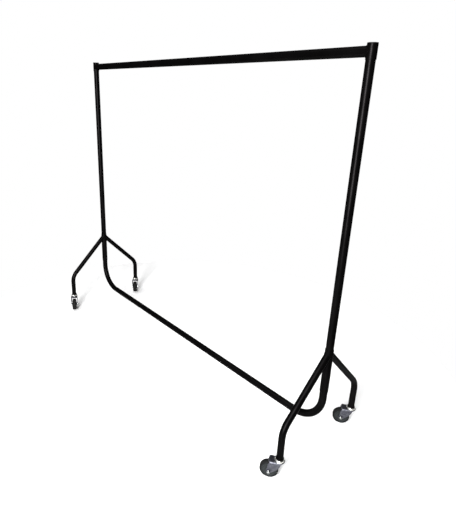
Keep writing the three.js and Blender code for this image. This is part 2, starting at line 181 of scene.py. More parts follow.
def modified(obj, kind, **settings):
    """Adds a modifier with these settings and applies it."""
    only(obj)
    modifier = obj.modifiers.new(kind.lower(), kind)
    for name, value in settings.items():
        setattr(modifier, name, value)
    bpy.ops.object.modifier_apply(modifier=modifier.name)
    return obj


def cut(obj, tool, operation="DIFFERENCE"):
    """Cuts obj with a tool, which is then thrown away."""
    modified(obj, "BOOLEAN", operation=operation, object=tool, solver="EXACT")
    bpy.data.objects.remove(tool)
    return obj


def eased(obj, width, sharper_than=35, segments=2):
    """Rounds the sharp edges a little."""
    return modified(
        obj, "BEVEL", width=width, segments=segments, limit_method="ANGLE",
        angle_limit=math.radians(sharper_than), use_clamp_overlap=True,
    )


def smooth(obj, angle=32):
    only(obj)
    bpy.ops.object.shade_smooth_by_angle(angle=math.radians(angle))
    return obj


def filleted(corners, step=12):
    """The points of a closed outline of (x, y, fillet radius) corners, with each fillet as an arc."""
    points = []
    for i, (x, y, radius) in enumerate(corners):
        here = Vector((x, y))
        if radius == 0:
            points.append(here)
            continue
        before = (Vector(corners[i - 1][:2]) - here).normalized()
        after = (Vector(corners[(i + 1) % len(corners)][:2]) - here).normalized()
        half = before.angle(after) / 2
        centre = here + (before + after).normalized() * radius / math.sin(half)
        start = here + before * radius / math.tan(half) - centre
        left_turn = before.cross(after) < 0
        turn = math.pi - 2 * half
        pieces = max(2, math.ceil(turn / math.radians(step)))
        for k in range(pieces + 1):
            angle = turn * k / pieces if left_turn else -turn * k / pieces
            points.append(centre + Matrix.Rotation(angle, 2) @ start)
    return points


def loop(name, points):
    """A closed loop of edges through the points, started from a circle."""
    bpy.ops.object.select_all(action="DESELECT")
    bpy.ops.mesh.primitive_circle_add(vertices=len(points), radius=1, fill_type="NOTHING")
    obj = bpy.context.object
    obj.name = name
    for vertex, point in zip(obj.data.vertices, points):
        vertex.co = point
    return obj


def turned(name, profile, facets=TURNED_FACETS, step=12):
    """A body turned about Z from (radius, height, fillet) corners."""
    obj = loop(name, [(max(r, 0), 0, z) for r, z in filleted(profile, step)])
    edit(obj)
    bpy.ops.mesh.spin(steps=facets, angle=TURN, center=(0, 0, 0), axis=(0, 0, 1))
    close_up()
    leave_edit()
    return obj


def prism(name, corners, plane, reach, step=12):
    """An outline in the plane of two axes, filled and extruded from -reach to +reach along the third."""
    first, second, third = plane
    points = [first * x + second * y - third * reach for x, y in filleted(corners, step)]
    obj = loop(name, points)
    edit(obj)
    bpy.ops.mesh.edge_face_add()
    bpy.ops.mesh.extrude_region_move(TRANSFORM_OT_translate={"value": third * 2 * reach})
    close_up()
    leave_edit()
    return obj


def placed(obj, matrix):
    """Puts the object's mesh where the matrix says, and leaves the object at the origin."""
    only(obj)
    obj.matrix_world = matrix
    bpy.ops.object.transform_apply(location=True, rotation=True, scale=True)
    return obj


def copied(obj, name, matrix):
    """A copy with a mesh of its own, moved in its mesh."""
    copy = obj.copy()
    copy.data = obj.data.copy()
    copy.name = name
    bpy.context.scene.collection.objects.link(copy)
    return placed(copy, matrix)


def discard(*objects):
    for obj in objects:
        bpy.data.objects.remove(obj)


def done(obj, name, body, node, finish):
    """Names a finished piece, ties it to its body, hides its CAD node and gives it its finish."""
    obj.name = name
    obj.data.materials.clear()
    obj.data.materials.append(finish)
    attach(obj, body)
    if node:
        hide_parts(node)


# ---------------------------------------------------------------- tubes and welds


def bent_tube(name, corners, bend_radius, radius, wall, bend_step=4):
    """A tube along straight runs between the corners, spun round a bend at each inner one."""
    along = (corners[1] - corners[0]).normalized()
    bpy.ops.object.select_all(action="DESELECT")
    bpy.ops.mesh.primitive_circle_add(
        vertices=TUBE_FACETS, radius=radius, fill_type="NOTHING", location=corners[0],
        rotation=along.to_track_quat("Z", "Y").to_euler(),
    )
    obj = bpy.context.object
    obj.name = name
    bpy.ops.object.transform_apply(location=True, rotation=True, scale=True)
    edit(obj)
    at = corners[0]
    for corner, following in zip(corners[1:-1], corners[2:]):
        run = (corner - at).normalized()
        leaving = (following - corner).normalized()
        turn = run.angle(leaving)
        setback = bend_radius * math.tan(turn / 2)
        bend_start = corner - run * setback
        axis = run.cross(leaving).normalized()
        bpy.ops.mesh.extrude_region_move(TRANSFORM_OT_translate={"value": bend_start - at})
        bpy.ops.mesh.spin(
            steps=math.ceil(math.degrees(turn) / bend_step), angle=-turn,
            center=bend_start + axis.cross(run) * bend_radius, axis=axis,
        )
        at = corner + leaving * setback
    bpy.ops.mesh.extrude_region_move(TRANSFORM_OT_translate={"value": corners[-1] - at})
    close_up()
    leave_edit()
    return modified(obj, "SOLIDIFY", thickness=wall, offset=-1, use_even_offset=True)


def way_out(point, along, radius):
    """How far a point inside an upright cylinder about Z goes along a direction to its surface."""
    a = along.x**2 + along.y**2
    b = 2 * (point.x * along.x + point.y * along.y)
    c = point.x**2 + point.y**2 - radius**2
    return (-b + math.sqrt(max(b * b - 4 * a * c, 0))) / (2 * a)


def cope(obj, start, along, radius):
    """Shapes the end of a tube that starts on the post's axis to the round sleeve."""
    for vertex in obj.data.vertices:
        if abs((vertex.co - start).dot(along)) < 1e-5:
            vertex.co += along * way_out(vertex.co, along, radius)
    return obj


def weld_bead(name, start, along, tube_radius, ripples):
    """A rippled bead round the joint of a tube and the round sleeve that it is coped to."""
    turn = along.to_track_quat("Z", "Y")
    bpy.ops.object.select_all(action="DESELECT")
    bpy.ops.mesh.primitive_torus_add(
        major_segments=ripples * 6, minor_segments=14, major_radius=tube_radius, minor_radius=WELD_BEAD,
        location=start, rotation=turn.to_euler(),
    )
    obj = bpy.context.object
    obj.name = name
    bpy.ops.object.transform_apply(location=True, rotation=True, scale=True)
    across = turn @ Vector((1, 0, 0))
    beside = turn @ Vector((0, 1, 0))
    for vertex in obj.data.vertices:
        out = vertex.co - start
        angle = math.atan2(out.dot(beside), out.dot(across))
        root = start + (across * math.cos(angle) + beside * math.sin(angle)) * tube_radius
        ripple = 1 + 0.13 * math.cos(angle * ripples) + 0.05 * math.cos(angle * 5 + 1)
        vertex.co = root + (vertex.co - root) * ripple + along * way_out(root, along, SLEEVE_RADIUS)
    return smooth(obj, 60)


def sleeve(name, low, high):
    """A socket tube with eased rims, about Z."""
    bore = SLEEVE_RADIUS - SLEEVE_WALL
    rim = 0.45 * MM
    return smooth(turned(name, [
        (bore, low, rim), (SLEEVE_RADIUS, low, rim), (SLEEVE_RADIUS, high, rim), (bore, high, rim),
    ], TUBE_FACETS, 20))


def hanging_rail(paint):
    """The straight rail, coped to a sleeve at each end and welded there."""
    start = Vector((0, 0, RAIL_Z))
    length = 2 * abs(POST["right"].x)
    rail = bent_tube("rail_blank", [start, start + Vector((length, 0, 0))], 0, RAIL_RADIUS, TUBE_WALL)
    along = Vector((1, 0, 0))
    cope(rail, start, along, SLEEVE_RADIUS + WELD_GAP)
    far_end = start + along * length
    placed(rail, Matrix.Translation(-far_end))
    cope(rail, Vector((0, 0, 0)), -along, SLEEVE_RADIUS + WELD_GAP)
    placed(rail, Matrix.Translation(far_end + POST["left"] * Vector((1, 1, 0))))
    done(smooth(rail), "hanging_rail", "frame", "top_rail", paint)
    bead = weld_bead("rail_weld", start, along, RAIL_RADIUS, 30)
    for side, turn in zip(SIDES, (0, math.pi)):
        at = Matrix.Translation((POST[side].x, POST_Y, 0)) @ Matrix.Rotation(turn, 4, "Z")
        done(copied(bead, "rail_weld_copy", at), f"rail_weld_{side}", "frame", None, paint)
    discard(bead)


def posts(paint, cap_plastic):
    """On each side a post, the socket over its top with its cap, and the socket that it stands in."""
    post = turned("post_blank", [
        (POST_RADIUS - TUBE_WALL, lowest("upright_left"), 0.3 * MM),
        (POST_RADIUS, lowest("upright_left"), 0.6 * MM),
        (POST_RADIUS, highest("upright_left"), 0.6 * MM),
        (POST_RADIUS - TUBE_WALL, highest("upright_left"), 0.3 * MM),
    ], TUBE_FACETS, 20)
    smooth(post)
    upper = sleeve("upper_sleeve", lowest("rail_sleeve_left"), highest("rail_sleeve_left"))
    lower = sleeve("lower_sleeve", lowest("leg_sleeve_left"), highest("leg_sleeve_left"))
    cap = end_cap()
    for side in SIDES:
        at = Matrix.Translation((POST[side].x, POST_Y, 0))
        for blank, name, node, slot, finish in (
            (post, "post", "upright", "black_paint", paint),
            (upper, "end_sleeve", "rail_sleeve", "black_paint", paint),
            (lower, "foot_sleeve", "leg_sleeve", "black_paint", paint),
            (cap, "end_cap", "sleeve_cap", "black_plastic", cap_plastic),
        ):
            piece = copied(blank, "copy", at)
            done(piece, f"{name}_{side}", "frame", f"{node}_{side}", finish)
    discard(post, upper, lower, cap)


def end_cap():
    """A moulded cap: a rounded flange with a gate mark, and a hollow plug with three sealing fins."""
    top = highest("sleeve_cap_left")
    seat = highest("rail_sleeve_left") + WELD_GAP
    bottom = lowest("sleeve_cap_left")
    bore = SLEEVE_RADIUS - SLEEVE_WALL
    plug = bore - 1 * MM
    fin = bore - 0.25 * MM
    profile = [(0, seat, 0), (plug - 1.6 * MM, seat, 0.3 * MM), (plug - 1.6 * MM, bottom, 0.3 * MM)]
    profile += [(plug - 0.6 * MM, bottom, 0.4 * MM), (plug, bottom + 1.2 * MM, 0.3 * MM)]
    for k in range(3):
        fin_low = bottom + (2.2 + 2.5 * k) * MM
        profile += [(plug, fin_low, 0), (fin, fin_low + 0.3 * MM, 0), (fin, fin_low + 0.6 * MM, 0)]
        profile += [(plug, fin_low + 1.1 * MM, 0)]
    profile += [
        (plug, seat, 0), (SLEEVE_RADIUS, seat, 0.3 * MM), (SLEEVE_RADIUS, top, 1.1 * MM),
        (2 * MM, top, 0.2 * MM), (1.6 * MM, top - 0.3 * MM, 0.1 * MM), (0, top - 0.3 * MM, 0),
    ]
    return smooth(turned("cap_blank", profile, TUBE_FACETS))


def bottom_rail(paint):
    """The long floor rail, its ends bent up into the leg sockets."""
    left, right = POST["left"].x, POST["right"].x
    corners = [
        Vector((left, POST_Y, BOTTOM_RAIL_TOP)), Vector((left, POST_Y, BOTTOM_RAIL_Z)),
        Vector((right, POST_Y, BOTTOM_RAIL_Z)), Vector((right, POST_Y, BOTTOM_RAIL_TOP)),
    ]
    rail = bent_tube("floor_rail", corners, BOTTOM_BEND, POST_RADIUS, TUBE_WALL, 3)
    eased(rail, 0.3 * MM)
    done(smooth(rail), "floor_rail", "frame", "bottom_rail", paint)


def legs(paint):
    """Four legs that slope out from the sockets and bend down over the casters."""
    start = Vector((0, 0, LEG_JOINT_Z))
    knee = Vector((0, LEG_OUT, KNEE_Z))
    along = (knee - start).normalized()
    corners = [start, knee, Vector((0, LEG_OUT, LEG_BOTTOM))]
    leg = bent_tube("leg_blank", corners, KNEE_BEND, LEG_RADIUS, TUBE_WALL, 2.5)
    cope(leg, start, along, SLEEVE_RADIUS + WELD_GAP)
    smooth(leg)
    bead = weld_bead("leg_weld", start, along, LEG_RADIUS, 26)
    for corner, (side, end) in CORNERS.items():
        turn = Matrix.Rotation(0 if end > 0 else math.pi, 4, "Z")
        at = Matrix.Translation((POST[side].x, POST_Y, 0)) @ turn
        piece = copied(leg, "copy", at)
        done(piece, f"splayed_leg_{corner}", "frame", f"leg_{corner}", paint)
        weld = copied(bead, "copy", at)
        done(weld, f"leg_weld_{corner}", "frame", None, paint)
    discard(leg, bead)


# ---------------------------------------------------------------- caster
# Modelled with the swivel axis on Z and the axle along Y at x = WHEEL_TRAIL, then copied to each leg.

ON_AXLE = Matrix.Translation((WHEEL_TRAIL, 0, AXLE_Z)) @ Matrix.Rotation(-math.pi / 2, 4, "X")


def stem_socket():
    """A moulded socket: a flange that shows under the leg, and a finned plug up inside it."""
    step = LEG_BOTTOM - WELD_GAP
    plug = LEG_RADIUS - TUBE_WALL - 1.1 * MM
    fin = LEG_RADIUS - TUBE_WALL - 0.35 * MM
    profile = [
        (STEM_BORE, SOCKET_LOW, 0.4 * MM), (FLANGE_RADIUS - 0.5 * MM, SOCKET_LOW, 0.9 * MM),
        (FLANGE_RADIUS, step, 0.9 * MM), (plug, step, 0.3 * MM),
    ]
    for k in range(5):
        fin_low = step + (5 + 6 * k) * MM
        profile += [(plug, fin_low, 0), (fin, fin_low + 0.4 * MM, 0), (fin, fin_low + 0.9 * MM, 0)]
        profile += [(plug, fin_low + 1.6 * MM, 0)]
    profile += [(plug, SOCKET_HIGH, 1 * MM), (STEM_BORE, SOCKET_HIGH, 0.4 * MM)]
    return smooth(turned("socket_blank", profile))


def grip_stem():
    """A stem with a riveted foot under the crown and a groove for the grip near its tip."""
    rivet_top = CROWN_TOP - SHEET - RUNNING_GAP
    tip = highest("caster_stem_front_left")
    groove_top = tip - 7 * MM
    groove_low = groove_top - 5 * MM
    groove = STEM_RADIUS - 1 * MM
    return smooth(turned("stem_blank", [
        (0, rivet_top - 3 * MM, 0), (7 * MM, rivet_top - 3 * MM, 1.6 * MM), (9 * MM, rivet_top, 0.4 * MM),
        (STEM_RADIUS, rivet_top, 0.2 * MM), (STEM_RADIUS, groove_low, 0.3 * MM),
        (groove, groove_low + 1 * MM, 0.3 * MM), (groove, groove_top - 1 * MM, 0.3 * MM),
        (STEM_RADIUS, groove_top, 0.3 * MM), (STEM_RADIUS, tip, 1.2 * MM), (0, tip, 0),
    ], 64))


def raceway_cup():
    """The pressed upper race: a shallow cup with a rolled shoulder and a small lip at its rim."""
    shoulder = CUP_RADIUS - RACE_SHOULDER
    bore = CUP_RADIUS - RACE_WALL
    ceiling = CUP_HIGH - RACE_WALL
    above_lip = CUP_RADIUS - 0.35 * MM
    return smooth(turned("cup_blank", [
        (STEM_BORE, ceiling, 0.2 * MM), (shoulder - RACE_WALL, ceiling, 1.2 * MM),
        (bore, ceiling - RACE_SHOULDER, 1.2 * MM), (bore, CUP_LOW, 0.4 * MM),
        (CUP_RADIUS, CUP_LOW, 0.5 * MM), (CUP_RADIUS, CUP_LOW + 1.4 * MM, 0.3 * MM),
        (above_lip, CUP_LOW + 1.8 * MM, 0.3 * MM), (above_lip, CUP_HIGH - RACE_SHOULDER, 2.2 * MM),
        (shoulder, CUP_HIGH, 1.4 * MM), (STEM_BORE, CUP_HIGH, 0.2 * MM),
    ]))


def ball_ring():
    """Eight balls in the holes of a flat cage."""
    height = CROWN_TOP + RUNNING_GAP + BALL_RADIUS
    land = BALL_RADIUS + 0.8 * MM
    inner, outer = BALL_CIRCLE - land, BALL_CIRCLE + land
    half = 0.4 * MM
    edge = 0.15 * MM
    ring = turned("cage_blank", [
        (inner, height - half, edge), (outer, height - half, edge),
        (outer, height + half, edge), (inner, height + half, edge),
    ], 48, 30)
    ball = turned("ball_blank", [
        (0, -BALL_RADIUS, 0), (BALL_RADIUS, -BALL_RADIUS, BALL_RADIUS),
        (BALL_RADIUS, BALL_RADIUS, BALL_RADIUS), (0, BALL_RADIUS, 0),
    ], 20, 15)
    for k in range(BALL_COUNT):
        spin = Matrix.Rotation(TURN * k / BALL_COUNT, 4, "Z")
        copy = copied(ball, "ball_copy", spin @ Matrix.Translation((BALL_CIRCLE, 0, height)))
        cut(ring, copy, "UNION")
    discard(ball)
    return smooth(ring)


def round_the_axle(before, after, step=8):
    """Corners on the boss round the axle, from the tangent of one point to the tangent of another."""
    axle = Vector((WHEEL_TRAIL, AXLE_Z))
    ends = []
    for point, side in ((before, 1), (after, -1)):
        out = Vector(point) - axle
        ends.append(math.atan2(out.y, out.x) + side * math.acos(FORK_BOSS / out.length))
    start, end = ends
    sweep = (end - start) % TURN
    pieces = math.ceil(sweep / math.radians(step))
    angles = [start + sweep * k / pieces for k in range(pieces + 1)]
    return [(axle.x + FORK_BOSS * math.cos(a), axle.y + FORK_BOSS * math.sin(a), 0) for a in angles]


def fork_section(inset, foot):
    """Half of the channel across the wheel, from a leg's foot up to the middle of the crown."""
    waist = AXLE_Z + 14 * MM
    shoulder_low = CROWN_TOP - FORK_SHOULDER - 2 * MM
    return [
        (FORK_HALF_AXLE - inset, foot, 0), (FORK_HALF_AXLE - inset, waist, 14 * MM),
        (FORK_HALF_TOP - inset, shoulder_low, 5 * MM),
        (FORK_HALF_TOP - inset, CROWN_TOP - inset, FORK_SHOULDER - inset),
    ]


def fork():
    """Sheet pressed into a channel: round shoulders, raked legs that draw in to the axle, a long crown."""
    forward, across = Vector((1, 0, 0)), Vector((0, 1, 0))
    foot = AXLE_Z - FORK_BOSS - 1 * MM
    outer = fork_section(0, foot)
    inner = fork_section(SHEET, foot)
    outer_mirrored = [(-x, z, fillet) for x, z, fillet in outer]
    inner_mirrored = [(-x, z, fillet) for x, z, fillet in inner[::-1]]
    section = outer_mirrored + outer[::-1] + inner + inner_mirrored
    channel = prism("fork_blank", section, (across, UP, forward), 70 * MM, 9)
    back = -FORK_HALF_TOP - 1 * MM
    heel = (HEEL[0], CROWN_TOP - HEEL[1])
    calf = (CALF[0], CROWN_TOP - CALF[1])
    chin = (CROWN_FRONT + 3 * MM, CROWN_TOP - CHIN_DROP)
    side_view = prism("side_cutter", [
        (CROWN_FRONT, CROWN_TOP + 1 * MM, 0), (back, CROWN_TOP + 1 * MM, 0),
        (back, CROWN_TOP - 5 * MM, 1.5 * MM), (*heel, 12 * MM), (*calf, 24 * MM),
        *round_the_axle(calf, chin), (*chin, 14 * MM),
    ], (forward, UP, across), 40 * MM, 8)
    cut(channel, side_view, "INTERSECT")
    back_round = FORK_HALF_TOP - 0.01 * MM
    plan = prism("plan_cutter", [
        (CROWN_FRONT, -FORK_HALF_TOP, CROWN_CORNER), (CROWN_FRONT, FORK_HALF_TOP, CROWN_CORNER),
        (-FORK_HALF_TOP, FORK_HALF_TOP, back_round), (-FORK_HALF_TOP, -FORK_HALF_TOP, back_round),
    ], (forward, across, UP), CROWN_TOP + 1 * MM, 6)
    rake = Matrix.Translation((FORK_RAKE * CROWN_TOP, 0, 0))
    rake[0][2] = -FORK_RAKE
    plan.data.transform(rake)
    cut(channel, plan, "INTERSECT")
    axle_hole = turned("axle_drill", [
        (0, -30 * MM, 0), (AXLE_BORE, -30 * MM, 0), (AXLE_BORE, 30 * MM, 0), (0, 30 * MM, 0),
    ], 48)
    cut(channel, placed(axle_hole, ON_AXLE))
    stem_hole = turned("stem_drill", [
        (0, CROWN_TOP - 10 * MM, 0), (STEM_BORE, CROWN_TOP - 10 * MM, 0),
        (STEM_BORE, CROWN_TOP + 10 * MM, 0), (0, CROWN_TOP + 10 * MM, 0),
    ], 48)
    cut(channel, stem_hole)
    eased(channel, 0.45 * MM)
    return smooth(channel, 40)


def hexagon(name, low, high, rounding):
    """A six-sided block along Z whose corners are turned off by a rounding body."""
    angles = [TURN * k / 6 for k in range(6)]
    corners = [(HEX_CORNER * math.cos(a), HEX_CORNER * math.sin(a), 0) for a in angles]
    block = prism(name, corners, (Vector((1, 0, 0)), Vector((0, 1, 0)), UP), (high - low) / 2)
    placed(block, Matrix.Translation((0, 0, (high + low) / 2)))
    return cut(block, rounding, "INTERSECT")


def axle_bolt():
    """A hexagon bolt through the fork, with its last turns of thread showing beyond the nut."""
    face = FORK_HALF_AXLE + WELD_GAP
    head_low = -face - HEAD_HEIGHT
    tip = FORK_HALF_AXLE + NUT_SLACK + NUT_HEIGHT + THREAD_SHOWING
    core = AXLE_RADIUS - 0.6 * MM
    thread_low = tip - 1 * MM - THREAD_TURNS * THREAD_PITCH
    profile = [(0, head_low + 1 * MM, 0), (AXLE_RADIUS, head_low + 1 * MM, 0)]
    profile += [(AXLE_RADIUS, thread_low - 0.4 * MM, 0)]
    for k in range(THREAD_TURNS):
        low = thread_low + THREAD_PITCH * k
        crest = (low + THREAD_PITCH * 0.42, low + THREAD_PITCH * 0.58)
        profile += [(core, low, 0), (AXLE_RADIUS, crest[0], 0), (AXLE_RADIUS, crest[1], 0)]
    profile += [(core, tip - 1 * MM, 0), (core, tip, 0.5 * MM), (0, tip, 0)]
    shank = turned("bolt_blank", profile, 48)
    rounding = turned("head_rounding", [
        (0, head_low, 0), (5.9 * MM, head_low, 0.3 * MM), (7.6 * MM, head_low + 1.1 * MM, 0),
        (7.6 * MM, -face - 0.3 * MM, 0), (6.3 * MM, -face, 0), (0, -face, 0),
    ], 64)
    head = hexagon("bolt_head", head_low, -face, rounding)
    cut(shank, head, "UNION")
    return placed(smooth(shank, 28), ON_AXLE)


def axle_nut():
    """A lock nut: a hexagon with a round collar over its nylon ring."""
    low = FORK_HALF_AXLE + WELD_GAP
    high = low + NUT_HEIGHT
    rounding = turned("nut_rounding", [
        (AXLE_BORE, low, 0.1 * MM), (6.4 * MM, low, 0.2 * MM), (7.6 * MM, low + 0.7 * MM, 0),
        (7.6 * MM, low + 4.2 * MM, 0), (6.2 * MM, low + 5 * MM, 0.3 * MM),
        (6 * MM, high, 0.7 * MM), (AXLE_BORE, high, 0.3 * MM),
    ], 64)
    return placed(smooth(hexagon("nut_blank", low, high, rounding), 28), ON_AXLE)


def spacer_bush():
    """The tube between the fork's legs that the wheel turns on."""
    half = FORK_HALF_AXLE - SHEET - WELD_GAP
    return placed(smooth(turned("bush_blank", [
        (AXLE_BORE, -half, 0.2 * MM), (BUSH_RADIUS, -half, 0.4 * MM),
        (BUSH_RADIUS, half, 0.4 * MM), (AXLE_BORE, half, 0.2 * MM),
    ], 64, 20)), ON_AXLE)


def mark_radius(obj):
    """Keeps each point's distance from the axle, which the finishes of the wheel read."""
    distance = obj.data.attributes.new("axle_distance", "FLOAT", "POINT")
    for i, vertex in enumerate(obj.data.vertices):
        distance.data[i].value = math.hypot(vertex.co.x, vertex.co.y)
    return obj


def wheel_core():
    """A moulded centre: hub boss, a dished web with a fine step, and a flat rim, alike on both sides."""
    rim = WHEEL_RADIUS - TREAD_THICKNESS
    web = TREAD_HALF - 2 * MM
    one_side = [
        (HUB_BORE, HUB_HALF, 0.5 * MM), (9.6 * MM, HUB_HALF, 0.6 * MM),
        (10.9 * MM, HUB_HALF - 0.8 * MM, 0.4 * MM), (12.2 * MM, web + 0.5 * MM, 1 * MM),
        (18.5 * MM, web + 0.3 * MM, 0.3 * MM),
        (19 * MM, web - 0.3 * MM, 0.3 * MM), (rim - 5.2 * MM, web - 0.2 * MM, 0.8 * MM),
        (rim - 3.4 * MM, TREAD_HALF - 0.2 * MM, 0.6 * MM), (rim, TREAD_HALF - 0.3 * MM, 0.3 * MM),
    ]
    other_side = [(r, -z, fillet) for r, z, fillet in reversed(one_side)]
    return placed(smooth(mark_radius(turned("core_blank", one_side + other_side))), ON_AXLE)


def tyre():
    """A rubber tread with round shoulders, a slightly proud sidewall lip and two fine grooves."""
    inner = WHEEL_RADIUS - TREAD_THICKNESS + 0.3 * MM
    crown = WHEEL_RADIUS - 0.1 * MM
    groove = 0.45 * MM
    one_side = [
        (inner, TREAD_HALF - 0.2 * MM, 0.2 * MM), (inner + 1.4 * MM, TREAD_HALF, 0.5 * MM),
        (WHEEL_RADIUS - 2.6 * MM, TREAD_HALF - 0.3 * MM, 1.2 * MM),
        (WHEEL_RADIUS - 0.25 * MM, TREAD_HALF - 3.4 * MM, 2.6 * MM),
        (crown, 6.6 * MM, 0), (crown - groove, 6.3 * MM, 0),
        (crown - groove, 5.9 * MM, 0), (WHEEL_RADIUS, 5.6 * MM, 0),
    ]
    other_side = [(r, -z, fillet) for r, z, fillet in reversed(one_side)]
    return placed(smooth(mark_radius(turned("tyre_blank", one_side + other_side, 128))), ON_AXLE)


def casters(finishes):
    """Models each caster piece once, and copies it under each leg at that caster's heading."""
    kinds = [
        (stem_socket(), "stem_socket", "leg_socket", "frame", "black_plastic", "black_plastic"),
        (grip_stem(), "caster_stem", "grip_stem", "frame", "bright_steel", "dull_steel"),
        (raceway_cup(), "raceway_cup", "upper_race", "frame", "bright_steel", "bright_steel"),
        (ball_ring(), "ball_ring", "balls_and_cage", "swivel", "bright_steel", "bright_steel"),
        (fork(), "caster_fork", "pressed_fork", "swivel", "zinc_plate", "zinc_plate"),
        (axle_bolt(), "axle_bolt", "hex_bolt", "swivel", "bright_steel", "dull_steel"),
        (axle_nut(), "axle_nut", "lock_nut", "swivel", "bright_steel", "dull_steel"),
        (spacer_bush(), "axle_bush", "spacer_bush", "swivel", "bright_steel", "dull_steel"),
        (wheel_core(), "wheel_core", "wheel_centre", "wheel", "hub_plastic", "hub_plastic"),
        (tyre(), "tyre", "rubber_tread", "wheel", "tyre_rubber", "tyre_rubber"),
    ]
    for corner in CORNERS:
        pivot = Vector(JOINTS[f"swivel_{corner}_turn"]["pos_m"])
        axle = Vector(JOINTS[f"wheel_{corner}_roll"]["pos_m"])
        heading = math.atan2(axle.y - pivot.y, axle.x - pivot.x)
        at = Matrix.Translation((pivot.x, pivot.y, 0)) @ Matrix.Rotation(heading, 4, "Z")
        for blank, node, name, mover, slot, finish in kinds:
            body = mover if mover == "frame" else f"{mover}_{corner}"
            piece = copied(blank, "copy", at)
            done(piece, f"{name}_{corner}", body, f"{node}_{corner}", finishes[finish])
    discard(*[kind[0] for kind in kinds])


# ---------------------------------------------------------------- shader maths


class Wire:
    """An output in a material, which can be used in sums with numbers and other outputs."""

    def __init__(self, finish, socket):
        self.finish = finish
        self.socket = socket

    def _math(self, operation, *values):
        inputs = dict(enumerate(values))
        return self.finish.node("ShaderNodeMath", {"operation": operation}, inputs)

    def __add__(self, other):
        return self._math("ADD", self, other)

    def __sub__(self, other):
        return self._math("SUBTRACT", self, other)

    def __rsub__(self, other):
        return self._math("SUBTRACT", other, self)

    def __mul__(self, other):
        return self._math("MULTIPLY", self, other)

    __radd__ = __add__
    __rmul__ = __mul__

    def between(self, low, high):
        """0 below low, 1 above high, and smooth between them."""
        return self.finish.node(
            "ShaderNodeMapRange", {"interpolation_type": "SMOOTHSTEP", "clamp": True},
            {"Value": self, "From Min": low, "From Max": high},
        )


class Finish:
    """A material with a Principled surface, built up from one node after another."""

    def __init__(self, name, **constants):
        self.material = bpy.data.materials.new(name)
        self.material.use_nodes = True
        self.tree = self.material.node_tree
        self.surface = self.tree.nodes["Principled BSDF"]
        for socket, value in constants.items():
            self.surface.inputs[socket.replace("_", " ")].default_value = value

    def node(self, kind, settings=None, inputs=None, output=0):
        made = self.tree.nodes.new(kind)
        for name, value in (settings or {}).items():
            setattr(made, name, value)
        for name, value in (inputs or {}).items():
            self.join(value, made.inputs[name])
        return Wire(self, made.outputs[output])

    def join(self, value, socket):
        if isinstance(value, Wire):
            self.tree.links.new(value.socket, socket)
        else:
            socket.default_value = value

    def feed(self, name, value):
        self.join(value, self.surface.inputs[name])

    def place(self, stretch=(1, 1, 1)):
        """The point on the piece, in metres, squeezed along some axes."""
        where = self.node("ShaderNodeTexCoord", output="Object")
        return self.node("ShaderNodeMapping", inputs={"Vector": where, "Scale": stretch})

    def noise(self, cell, detail=3, where=None, roughness=0.5):
        """Noise from 0 to 1 with cells of about that many metres."""
        where = where or self.place()
        settings = {"noise_dimensions": "3D"}
        inputs = {"Vector": where, "Scale": 1 / cell, "Detail": detail, "Roughness": roughness}
        return self.node("ShaderNodeTexNoise", settings, inputs, "Fac")

    def mix(self, mask, first, second):
        """From the first colour to the second as the mask goes from 0 to 1."""
        made = self.tree.nodes.new("ShaderNodeMix")
        made.data_type = "RGBA"
        colours = [socket for socket in made.inputs if socket.type == "RGBA"]
        self.join(mask, made.inputs[0])
        self.join(first, colours[0])
        self.join(second, colours[1])
        result = [socket for socket in made.outputs if socket.type == "RGBA"]
        return Wire(self, result[0])

    def bump(self, height, depth, strength=1.0):
        made = self.node("ShaderNodeBump", inputs={"Height": height, "Distance": depth, "Strength": strength})
        self.feed("Normal", made)


def black_paint():
    """Satin-gloss black powder coat: a faint orange peel, a little cloudiness and a trace of dust."""
    finish = Finish(
        "black powder coat", Metallic=0.75, Specular_IOR_Level=0.06, Specular_Tint=(0.15, 0.15, 0.15, 1),
    )
    cloud = finish.noise(0.09, 4)
    speck = finish.noise(0.0022, 2)
    shade = finish.mix(cloud.between(0.35, 0.7), (0.0028, 0.0026, 0.0027, 1), (0.0044, 0.0041, 0.0042, 1))
    dust = speck.between(0.66, 0.8) * cloud.between(0.45, 0.75) * 0.25
    finish.feed("Base Color", finish.mix(dust, shade, (0.018, 0.017, 0.0165, 1)))
    finish.feed("Roughness", 0.24 + cloud * 0.1 + speck * 0.05)
    finish.bump(finish.noise(0.0016, 1) + finish.noise(0.0006, 1) * 0.25, 0.00006, 0.6)
    return finish.material


def black_plastic():
    """Moulded black polymer with a fine spark-eroded grain."""
    finish = Finish("moulded black plastic", Specular_IOR_Level=0.08)
    cloud = finish.noise(0.012, 3)
    finish.feed("Base Color", finish.mix(cloud, (0.0012, 0.0012, 0.0013, 1), (0.0022, 0.0022, 0.0022, 1)))
    finish.feed("Roughness", 0.42 + cloud * 0.14)
    finish.bump(finish.noise(0.0004, 2), 0.00004, 0.5)
    return finish.material


def zinc_plate():
    """Dull blue-grey zinc on pressed sheet: blotchy, with fine draw marks down the legs."""
    finish = Finish("dull zinc plate", Metallic=1.0)
    blotch = finish.noise(0.007, 5, roughness=0.65)
    draw = finish.noise(0.0012, 3, finish.place((1, 1, 0.12)))
    cool = finish.mix(blotch.between(0.3, 0.7), (0.044, 0.043, 0.058, 1), (0.105, 0.108, 0.118, 1))
    finish.feed("Base Color", finish.mix(draw * 0.3, cool, (0.04, 0.04, 0.056, 1)))
    finish.feed("Roughness", 0.3 + blotch * 0.18 + draw * 0.1)
    finish.bump(draw + blotch * 0.6, 0.00005, 0.35)
    return finish.material


